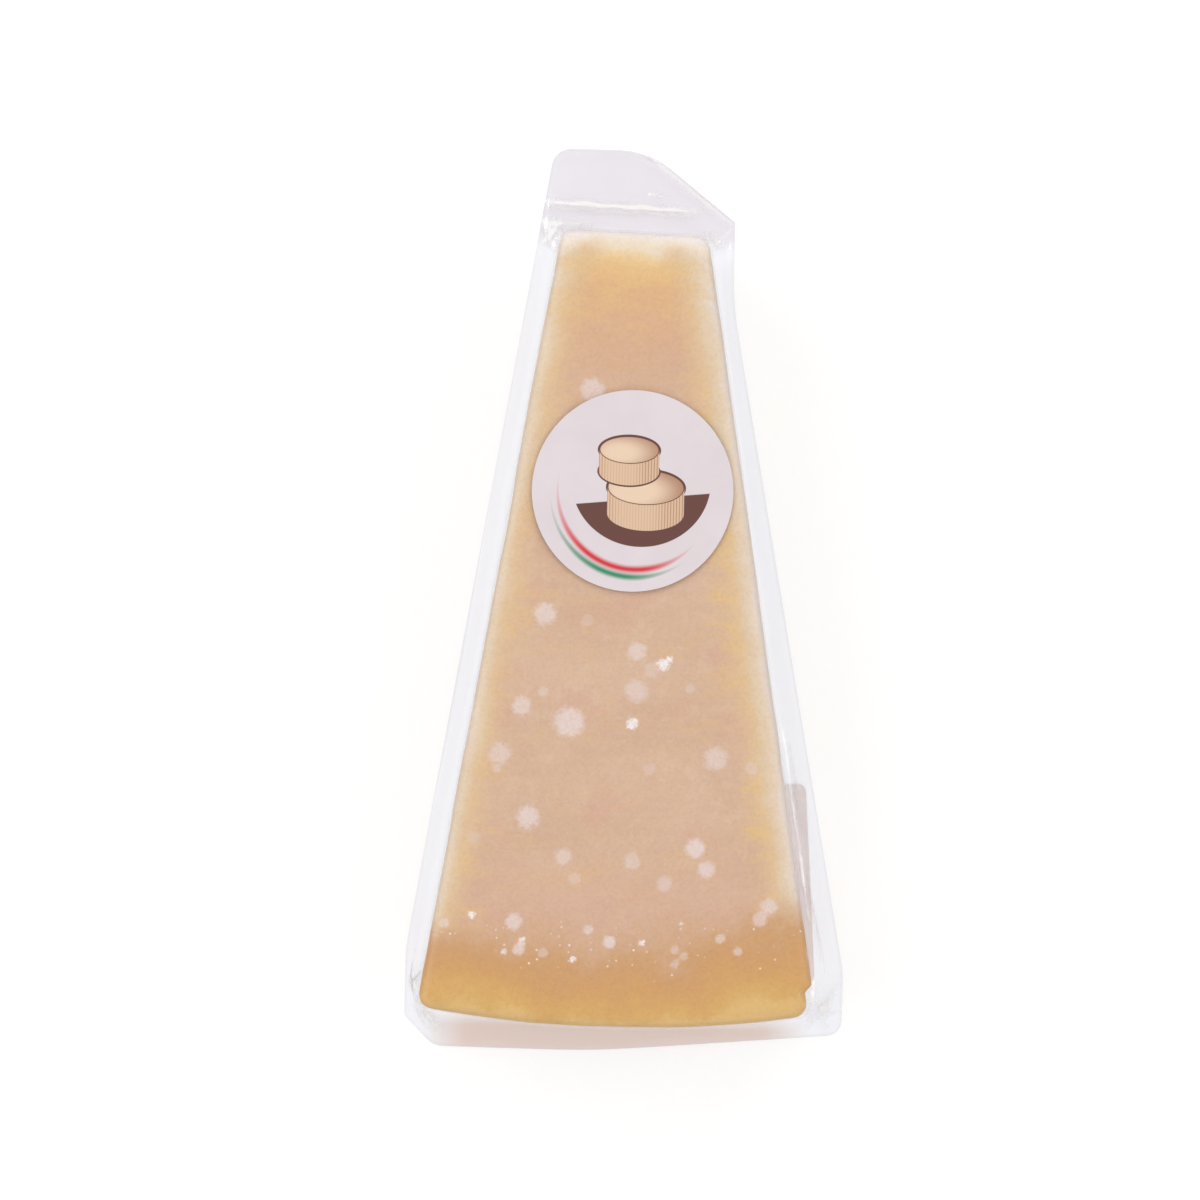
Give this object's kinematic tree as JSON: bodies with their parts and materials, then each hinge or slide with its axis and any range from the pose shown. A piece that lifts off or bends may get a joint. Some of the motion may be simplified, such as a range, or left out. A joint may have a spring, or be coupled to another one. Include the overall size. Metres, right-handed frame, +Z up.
{
  "type": "packed cheese wedge",
  "caption": "Wedge of hard grating cheese vacuum-sealed in a clear film pack with a flat flange, a pull tab, a round front label and a back label.",
  "frame": {"origin": "centre of the footprint, on the surface the pack lies on", "axes": "+Z up out of the front face, +Y along the pack towards its narrow end and pull tab, +X to the right seen from above"},
  "size_m": [0.0766, 0.1576, 0.0366],
  "materials": {
    "cheese_in_film": "pale straw-coloured cheese under tight clear glossy film",
    "clear_film": "clear glossy packing film, wrinkled at the corners",
    "label_paper": "smooth white label paper with a plain printed design"
  },
  "bodies": {
    "root": {"sealed_pack": "cheese_in_film", "front_label": "label_paper", "back_label": "label_paper"}
  },
  "joints": []
}
